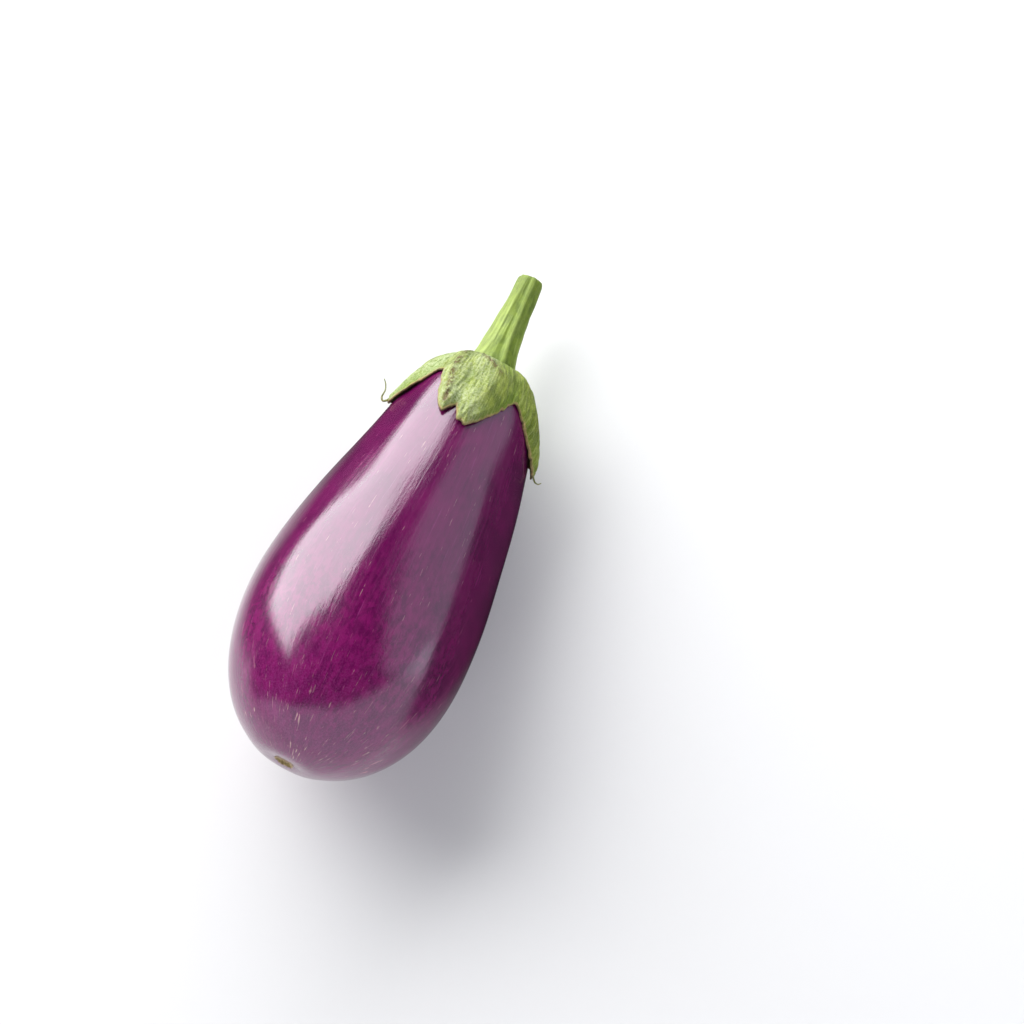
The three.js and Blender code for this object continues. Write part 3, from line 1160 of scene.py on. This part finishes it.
    def painted_light(self, turn: Array, reach: Array) -> Array:
        """How much pale down is painted on: full on the calyx's lit side, and thin past the forked sepal's
        second rib, where the calyx is in shade, on smooth steps, with cloudy changes. This is painted light.

        Args:
            turn: Angles round the axis.
            reach: Distances from the fruit's stem end.

        Returns:
            The shares of down, from 0 to 1.
        """
        away = from_turn(turn, 0.0)
        lit_side = 1 - smoothstep(away, 4.0, 20.0) * (1 - 0.6 * smoothstep(away, 110.0, 160.0))
        return np.clip(lit_side * (0.62 + 0.18 * ripples(36, turn, reach, (3, 9), (12.0, 40.0))), 0.0, 1.0)

    def thread(self, name: str, tip: SepalTip, path: Knots, radius: float, material: Material) -> Piece:
        """A curled thread at a sepal's tip: a tube that thins evenly to its end. Its middle line is the path,
        sampled evenly and smoothed with a bell.

        Args:
            name: The object's name.
            tip: The sepal's tip, where it starts.
            path: Its points, outwards from the skin and on towards the blossom end, in millimetres.
            radius: Its radius where it starts.
            material: The finish.

        Returns:
            The new object.
        """
        knots = np.array(path, float)
        at = np.linspace(0, len(knots) - 1, 60)
        smooth = np.stack([np.interp(at, np.arange(len(knots)), knots[:, i]) for i in range(2)], -1)
        kernel = hill(np.arange(-8, 9), 0, 4.0)
        padded = np.pad(smooth, ((8, 8), (0, 0)), mode="reflect", reflect_type="odd")
        smooth = np.stack([np.convolve(padded[:, i], kernel / kernel.sum(), "valid") for i in range(2)], -1)
        travelled = np.array([self.form.girth - tip.reach + 0.8])
        turn = np.array([tip.turn])
        start = self.form.raised(travelled, turn, np.array([0.9 + tip.stands]))[0]
        out = self.form.normal(travelled, turn)[0]
        on = unit(self.form.skin(travelled - 1, turn)[0] - self.form.skin(travelled, turn)[0])
        line = start + smooth[:, :1] * out + smooth[:, 1:] * on
        ahead = unit(np.gradient(line, axis=0))
        across = np.broadcast_to(unit(np.cross(out, on)), line.shape)
        other = np.cross(ahead, across)
        thin = radius * (1 - 0.62 * np.linspace(0, 1, len(line)))
        angle = np.linspace(0, 2 * np.pi, 14, endpoint=False)
        ring = np.cos(angle)[None, :, None] * across[:, None] + np.sin(angle)[None, :, None] * other[:, None]
        tube = line[:, None] + ring * thin[:, None, None]
        caps = [0 * end + end.mean(1, keepdims=True) for end in (tube[:1], tube[-1:])]
        tube = np.concatenate([caps[0], tube, caps[1]])
        # The threads take half of the painted light.
        plain = {Track.EDGE: 0.0006, Track.RIDGE: 0.25, Track.RIB: 0.5, Track.PAINTED_LIGHT: 0.5}
        tracks = {track: np.full(tube.shape[:2], value) for track, value in plain.items()}
        return closed_rings(name, self.lying.in_frame(tube), {Track.GRAIN: tube * MM, **tracks}, material)

    def build(self) -> list[Piece]:
        """Makes the calyx and its two threads in their downy finish.

        Returns:
            The calyx and the threads.
        """
        material = DownyCalyx().material()
        points, tracks = self.surface()
        calyx = closed_rings("eggplant_calyx", self.lying.in_frame(points), tracks, material)
        place_in_frame(calyx, "calyx")
        left = self.thread("eggplant_thread_left", self.tips[0], self.left_path, 0.46, material)
        right = self.thread("eggplant_thread_right", self.tips[3], self.right_path, 0.45, material)
        for piece in (left, right):
            place_in_frame(piece)
        return [calyx, left, right]


# ------------------ the stem


@dataclass
class Stem:
    """The cut stem, ribbed lengthwise, whose foot spreads into the calyx."""

    form: FruitForm
    lying: Lying
    length: float = 37.0
    foot_at: float = 2.7
    sunk: float = 1.6
    rise: float = 2.0
    sway: float = -0.4
    cut_radius: float = 4.65
    gain: float = 3.2
    flare: float = 1.3
    flare_length: float = 4.5
    rings: int = 150
    cut_rings: int = 16
    columns: int = 200
    rib_turns: tuple[float, ...] = (-84.0, -24.0, 18.0, 66.0, 128.0, 196.0, 236.0)
    rib_heights: tuple[float, ...] = (0.5, 0.45, 0.6, 0.45, 0.5, 0.6, 0.45)

    def ribs(self, turn: Array, share: Array) -> tuple[Array, Array]:
        """The ribs: narrow bells between shallow grooves, which fan out towards the foot and fade towards the
        cut.

        Args:
            turn: Angles round the stem.
            share: Shares of the way from the foot to the cut.

        Returns:
            Their height in millimetres, and how near each point is to a rib's crest, from 0 to 1.
        """
        height = np.zeros_like(turn)
        crest = np.zeros_like(turn)
        for rib, tall in zip(self.rib_turns, self.rib_heights):
            lean = rib * (1 + 0.05 * np.sin(5 * share + rib)) + 9 * (1 - share) ** 3 * np.sign(rib)
            away = from_turn(turn, lean)
            fade = (1 - 0.55 * smoothstep(share, 0.45, 1.0)) * (0.75 + 0.25 * np.sin(9 * share + 2 * rib))
            wave = hill(away, 0.0, 8.0) - 0.55 * hill(away, 15.0, 8.0) - 0.55 * hill(away, -15.0, 8.0)
            height += tall * fade * wave
            crest = np.maximum(crest, fade * hill(away, 0.0, 5.5))
        return height, crest

    def build(self) -> Piece:
        """Makes the stem. Its middle line is a quadratic curve from the calyx, straight out and then up a
        little. Its radius falls from foot to cut, plus a flare that dies away along it, the ribs and small
        ripples. The cut is a bevelled edge and a rough, slightly hollow face.

        Returns:
            The stem.
        """
        body = np.linspace(0, 1, self.rings) ** 1.15
        inward = np.linspace(0, 1, self.cut_rings + 1)[1:]
        share = np.concatenate([[0.0], body, np.ones(self.cut_rings)])
        face = np.concatenate([np.zeros(self.rings + 1), inward])
        share, turn = grid(share, self.columns)
        face = face[:, None] + 0 * turn
        foot = self.form.axis_at(np.array(self.form.length)) + np.array([self.foot_at - self.sunk, 0, 0])
        bend = foot + np.array([0.5 * self.length, 0, 0])
        top = foot + np.array([self.length + self.sunk, self.sway, self.rise])
        t = share[..., None]
        middle = (1 - t) ** 2 * foot + 2 * (1 - t) * t * bend + t * t * top
        ahead = unit(2 * (1 - t) * (bend - foot) + 2 * t * (top - bend))
        side = unit(np.cross(ahead, np.array([0.0, 0.0, 1.0])))
        up = np.cross(side, ahead)
        from_foot = share * self.length
        plain = self.cut_radius + self.gain * (1 - share)
        flare = self.flare * np.exp(-np.maximum(from_foot - self.sunk, 0) / self.flare_length)
        height, crest = self.ribs(turn, share)
        oval = 1 + 0.035 * np.cos(2 * np.radians(turn - 20))
        ripple = 0.12 * ripples(41, turn, from_foot, (3, 9), (9.0, 40.0))
        swollen_end = 0.25 * smoothstep(share, 0.82, 1.0)
        radius = (plain + swollen_end + flare) * oval + height * (1 + flare / 3) + ripple
        hollow = np.cos(0.5 * np.pi * np.clip(face * 6, 0, 1)) * 0.1
        radius = np.where(face > 0, radius * (1 - face) ** 0.9, radius)
        radius[0] = 0.0
        bevel = np.where(face > 0, 0.0, smoothstep(share, 0.975, 1.0) * 0.22)
        radius = radius - bevel
        angle = np.radians(turn)[..., None]
        grit = 0.16 * ripples(42, turn, 30 * face, (4, 20), (3.0, 12.0))
        grit = grit * smoothstep(face, 0.0, 0.3) * (1 - face)
        dished = -0.45 * np.sin(np.pi * np.clip(face, 0, 1) / 2) + hollow + grit
        out = np.where(face > 0, dished, 0.0)[..., None]
        points = middle + radius[..., None] * (np.sin(angle) * side + np.cos(angle) * up) + out * ahead
        grain = np.concatenate([7 * np.cos(angle), 7 * np.sin(angle), from_foot[..., None]], -1) * MM
        tracks = {
            Track.GRAIN: grain,
            Track.RIB: np.where(face > 0, 0.0, crest),
            # Painted light: paler on the upper side that faces the key light, fading towards the cut.
            Track.PAINTED_LIGHT: 0.25 * hill(from_turn(turn, -65.0), 0.0, 48.0) * (1 - 0.4 * share),
            Track.CUT: smoothstep(face, 0.0, 0.06),
        }
        piece = closed_rings("eggplant_stem", self.lying.in_frame(points), tracks, StemRind().material())
        place_in_frame(piece, "stem")
        return piece


# ------------------ the studio


@dataclass(frozen=True)
class SoftPanel:
    """A soft light that stands beside the object and faces it. Lengths are in metres. The bearing is in
    degrees from +X towards +Y, and the lean of its top away from the object and the roll in its own plane are
    in degrees too. The glow is the brightness of its cloth, where 1 is white paper in full light."""

    name: str
    bearing: float
    distance: float
    width: float
    height: float
    glow: float
    lean: float = 0.0
    roll: float = 0.0
    tint: Colour = (1.0, 1.0, 1.0)

    def build(self) -> Piece:
        """Makes the light: its power is its glow times pi times its area.

        Returns:
            The light.
        """
        data = bpy.data.lights.new(self.name, "AREA")
        data.shape = "RECTANGLE"
        data.size, data.size_y = self.width, self.height
        data.energy = self.glow * np.pi * self.width * self.height
        data.color = self.tint
        panel = in_scene(self.name, data)
        bearing = np.radians(self.bearing)
        away = Vector((np.cos(bearing), np.sin(bearing), 0.0))
        across = Vector((-away.y, away.x, 0.0))
        place = away * self.distance + Vector((0, 0, self.height / 2 * np.cos(np.radians(self.lean))))
        upright = Matrix((across, Vector((0, 0, 1)), away)).transposed()
        tilt = Matrix.Rotation(np.radians(self.lean), 3, "X") @ Matrix.Rotation(np.radians(self.roll), 3, "Z")
        panel.matrix_world = Matrix.Translation(place) @ (upright @ tilt).to_4x4()
        panel.visible_camera = False
        log.info("light %s at bearing %.0f", self.name, self.bearing)
        return panel


@dataclass
class Studio:
    """The pale floor, the soft lights and the camera."""

    floor_size: float = 16.0
    card_size: float = 1.8
    card_height: float = 0.0002
    ambient: float = 0.14
    lamp_power: float = 0.3
    lamp_bearing: float = 62.0
    lamp_rise: float = 48.0
    lamp_spread: float = 28.0
    azimuth: float = -67.5
    elevation: float = 78.5
    distance: float = 0.88
    lens: float = 85.0
    aside: float = -0.0379
    panels: tuple[SoftPanel, ...] = (
        SoftPanel("key_panel", 56.8, 1.0, 1.68, 2.56, 5.4, 20.4, -25.8),
        SoftPanel("side_panel", -50.0, 1.0, 1.6, 1.4, 0.85, tint=(0.84, 0.9, 1.0)),
        SoftPanel("front_panel", -152.0, 0.9, 9.0, 1.25, 0.95, tint=(0.92, 0.92, 1.0)),
    )

    def sheet(self, name: str, size: float, height: float, material: Material) -> Piece:
        """A square sheet.

        Args:
            name: The object's name.
            size: Its side, in metres.
            height: How high it lies.
            material: The finish.

        Returns:
            The new object, marked as part of the stage.
        """
        half = size / 2
        corners = [(-half, -half, height), (half, -half, height), (half, half, height), (-half, half, height)]
        mesh = bpy.data.meshes.new(name)
        mesh.from_pydata(corners, [], [(0, 1, 2, 3)])
        mesh.materials.append(material)
        made = in_scene(name, mesh)
        made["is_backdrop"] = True
        return made

    def lamp(self) -> None:
        """Sets a broad lamp behind the key panel, to whiten the floor. The skin doesn't mirror it."""
        data = bpy.data.lights.new("far_lamp", "SUN")
        data.energy, data.angle = self.lamp_power, np.radians(self.lamp_spread)
        made = in_scene("far_lamp", data)
        bearing, rise = np.radians(self.lamp_bearing), np.radians(self.lamp_rise)
        away = Vector((np.cos(bearing) * np.cos(rise), np.sin(bearing) * np.cos(rise), np.sin(rise)))
        made.matrix_world = away.to_track_quat("Z", "Y").to_matrix().to_4x4()
        made.visible_glossy = False

    def camera(self) -> None:
        """Aims the camera at the object's middle from above, a little to one side of it."""
        low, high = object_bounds()
        a, e = np.radians(self.azimuth), np.radians(self.elevation)
        back = Vector((np.sin(a) * np.cos(e), -np.cos(a) * np.cos(e), np.sin(e)))
        right = Vector((np.cos(a), np.sin(a), 0.0))
        data = bpy.data.cameras.new("camera")
        data.lens, data.sensor_width = self.lens, 36.0
        made = in_scene("camera", data)
        middle = (Vector(low) + Vector(high)) / 2
        place = middle + back * self.distance - right * self.aside
        turned = Matrix((right, back.cross(right), back)).transposed()
        made.matrix_world = Matrix.Translation(place) @ turned.to_4x4()
        bpy.context.scene.camera = made

    def build(self) -> None:
        """Sets the whole stage. The glossy skin doesn't mirror the floor that is seen, but a shaded card in
        its place, pale round the blossom end and dark towards the flanks."""
        floor = self.sheet("floor", self.floor_size, 0.0, PaleFloor().material())
        floor.visible_glossy = False
        card = self.sheet("mirrored_card", self.card_size, self.card_height, ShadedCard().material())
        card.visible_camera = False
        card.visible_diffuse = False
        card.visible_shadow = False
        for panel in self.panels:
            panel.build()
        self.lamp()
        scene = bpy.context.scene
        scene.view_settings.view_transform = "Standard"
        world = bpy.data.worlds.new("room")
        scene.world = world
        world.use_nodes = True
        background = world.node_tree.nodes["Background"]
        background.inputs["Color"].default_value = (1.0, 1.0, 1.0, 1.0)
        background.inputs["Strength"].default_value = self.ambient
        world.cycles_visibility.glossy = False
        self.camera()
        log.info("studio: %d panels", len(self.panels))


def main() -> None:
    """Builds the eggplant round its CAD model, then its studio."""
    logging.basicConfig(level=logging.INFO, format="%(name)s: %(message)s")
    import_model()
    form = FruitForm()
    lying = Lying(form)
    log.info("the fruit's space lies at %s mm", np.round(lying.offset, 2))
    fruit = Fruit(form, lying)
    fruit.build()
    BlossomScar(fruit).build()
    Calyx(form, lying).build()
    Stem(form, lying).build()
    Studio().build()
    log.info("boxes written")


if __name__ == "__main__":
    main()
